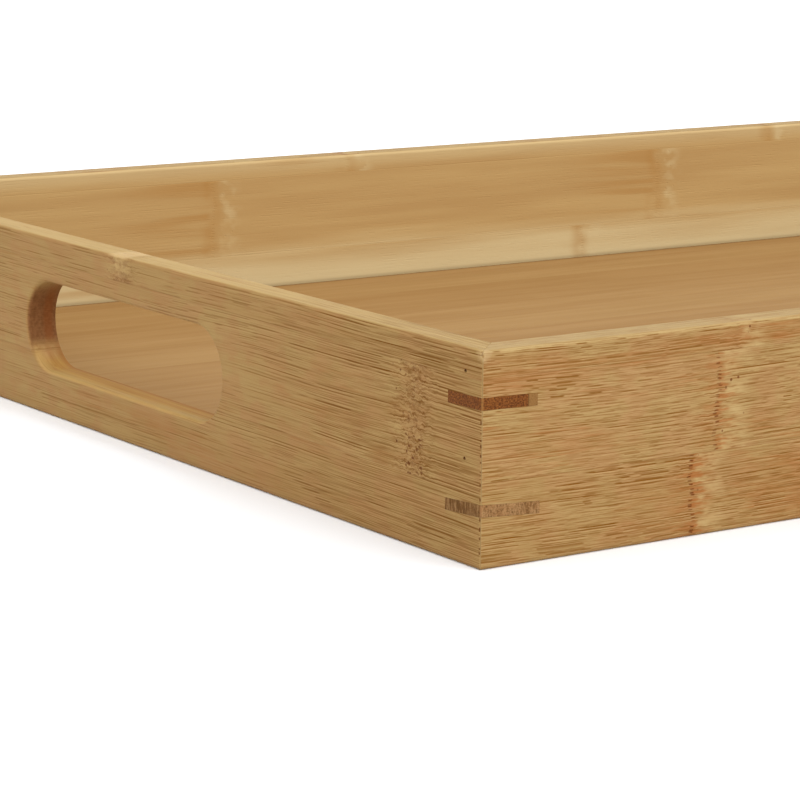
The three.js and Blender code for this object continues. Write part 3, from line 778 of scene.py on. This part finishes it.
# light, mid, deep, dark, reddish, pale
LONG = tone([(194, 159, 106), (187, 150, 98), (166, 120, 64), (126, 72, 22), (194, 146, 100), (178, 108, 56), (213, 181, 126)], (0.705, 0.715, 0.69))
SHORT = tone([(186, 152, 99), (180, 142, 91), (156, 112, 60), (112, 64, 18), (184, 138, 92), (164, 102, 52), (219, 187, 128)], (0.72, 0.71, 0.65))
FLOOR = tone([(192, 152, 102), (182, 141, 91), (170, 127, 77), (150, 108, 62), (176, 130, 80), (176, 130, 80), (200, 164, 112)], (0.69, 0.665, 0.59))
# inner faces' palettes. BACK_IN's gain paints the back wall's inner face lighter for the light that falls on it, and
# its last number sets how much paler it turns toward the bottom
BACK_IN = tone([(193, 153, 97), (183, 141, 87), (212, 184, 134), (172, 118, 56)], (0.99, 1.1, 1.235)) + (0.92,)
SIDE_IN = tone([(186, 147, 94), (178, 138, 86), (200, 170, 120), (164, 116, 62)], (0.8, 0.78, 0.7)) + (0.5,)

STAINS = [(10, 44, 24, 5, 0.45), (78, 47, 28, 2.4, 0.55), (52, 8, 16, 9, 0.22), (102, 8, 30, 11, 0.48), (96, 15, 26, 4, 0.25), (20, 27, 22, 2.4, 0.2), (118, 6, 22, 7, 0.25), (86, 27, 14, 3, 0.12), (48, 45, 18, 2.2, 0.5)]
mats = {
    "front": bamboo("bamboo_front", "X", L / 2, [(0, 60.6, 0.14, 1.0), (19.9, 67.7, 0.0, 0.85), (43.6, 73.5, 0.1, 0.25)], LONG, 1.0, corner=(L / 2, L / 2, False), inner=(1.0,) + SIDE_IN, rim=(0.1, 0.6), node_pale=0.66, stains=STAINS, embers=0.5),
    "back": bamboo("bamboo_back", "X", L / 2, [(0, 281.0, 0.0, 0.8), (18.6, 126.7, 0.0, 0.8), (44.2, 368.7, 0.05, 0.6)], LONG, 2.0, spacing=188.5, corner=(L / 2, L / 2, False), inner=(-1.0,) + BACK_IN, embers=0.4),
    "left": bamboo("bamboo_left", "Y", W / 2, [(0, 252.0, 0.0, 0.6), (17.0, 27.0, 0.0, 1.0), (43.2, 164.6, 0.06, 0.65)], SHORT, 3.0, contrast=1.1, corner=(W / 2, W / 2, True), inner=(1.0,) + SIDE_IN, knurl=1.0, stretch=2.3, clumps=0.85, embers=0.25, calm=(30.0, 115.0, 0.5), rim=(0.75, 1.0), stains=[(38, 19, 9, 3.2, 0.4), (33, 31, 5, 3, 0.35), (32, 40, 5, 3, 0.3), (62, 26, 20, 2.5, 0.3), (150, 8, 40, 3, 0.25)]),
    "right": bamboo("bamboo_right", "Y", W / 2, [(0, 96.0, 0.0, 0.8), (20.0, 255.0, -0.05, 1.0), (43.0, 44.0, 0.1, 0.6)], SHORT, 4.0, corner=(W / 2, W / 2, True), inner=(-1.0,) + SIDE_IN, knurl=0.6, stretch=2.0, clumps=0.8, embers=0.25),
    "floor": bamboo("bamboo_floor", "X", L / 2, None, FLOOR, 5.0, contrast=0.04, width=19.6, spacing=310.0, pale_top=0.0, node_pale=0.1),
}
for ob, key in ((front, "front"), (back, "back"), (left, "left"), (right, "right"), (floor_board, "floor")):
    ob.data.materials.clear()
    ob.data.materials.append(mats[key])
for (c, l), ob in keys.items():
    if l == "upper":
        m = key_wood("key_%s_%s" % (c, l), (132, 80, 48), (122, 72, 44), (88, 50, 30), CORNERS[c], (0.80, 0.755, 0.47), 12.6 if c == "front_left" else None)
    else:
        m = key_wood("key_%s_%s" % (c, l), (176, 137, 98), (164, 122, 84), (112, 76, 38), CORNERS[c], (0.73, 0.70, 0.61), barred=0.95)
    ob.data.materials.append(m)
steel = {"upper": brad_steel("brad_dark", (66, 46, 34), (40, 28, 20)), "lower": brad_steel("brad_rusty", (124, 88, 54), (92, 60, 34))}
for (c, l), ob in brads.items():
    ob.data.materials.append(steel[l])

# ------------------------------------------------------------------ stage, light, camera
bm = bmesh.new()
bmesh.ops.create_grid(bm, x_segments=8, y_segments=8, size=6.0)
ground = obj_from_bm(bm, "studio_floor")
ground.location = (0, 0, 0)
G = Shade("studio_floor")
gx, gy, gz = G.sep(G.tc.outputs["Object"])
G.put(G.bsdf.inputs["Base Color"], G.mix(G.noise(G.mul(gx, 3.0), G.mul(gy, 3.0), 0.0, 2.0), (0.945, 0.96, 0.985, 1), (0.96, 0.975, 0.995, 1)))
G.bsdf.inputs["Roughness"].default_value = 0.9
G.bsdf.inputs["Specular IOR Level"].default_value = 0.1
ground.data.materials.append(G.mat)

world = bpy.data.worlds.new("studio")
scene.world = world
world.use_nodes = True
world.node_tree.nodes["Background"].inputs[0].default_value = (0.975, 0.99, 1.0, 1)
world.node_tree.nodes["Background"].inputs[1].default_value = 1.05


def sun(name, toward, angle, power, colour=(1, 1, 1)):
    """A broad, even source: toward is the direction its light travels."""
    ld = bpy.data.lights.new(name, "SUN")
    ld.energy, ld.color, ld.angle = power, colour, math.radians(angle)
    ob = bpy.data.objects.new(name, ld)
    coll.objects.link(ob)
    ob.rotation_mode = "QUATERNION"
    ob.rotation_quaternion = Vector(toward).to_track_quat("-Z", "Y")
    return ob


sun("key_soft", (0.14, 0.78, -1.0), 70, 1.5, (1.0, 0.99, 0.965))

near_corner = Vector((-L / 2, -W / 2, 0)) * MM
unit = H * MM
yaw, pitch, roll = 0.5959, 0.1950, 0.0081
f = Vector((math.sin(yaw) * math.cos(pitch), math.cos(yaw) * math.cos(pitch), -math.sin(pitch)))
r = Vector((math.cos(yaw), -math.sin(yaw), 0))
u = r.cross(f)
r2 = r * math.cos(roll) + u * math.sin(roll)
u2 = -r * math.sin(roll) + u * math.cos(roll)
cam_data = bpy.data.cameras.new("camera")
cam = bpy.data.objects.new("camera", cam_data)
coll.objects.link(cam)
rot = Matrix((r2, u2, -f)).transposed().to_4x4()
cam.matrix_world = Matrix.Translation(near_corner + Vector((-7.7472, -10.7758, 3.3985)) * unit) @ rot
cam_data.sensor_width = 36.0
cam_data.lens = 36.0 * 3054.955 / 800.0
cam_data.clip_start, cam_data.clip_end = 0.05, 50.0
scene.camera = cam

scene.view_settings.view_transform = "Standard"
scene.view_settings.look = "None"
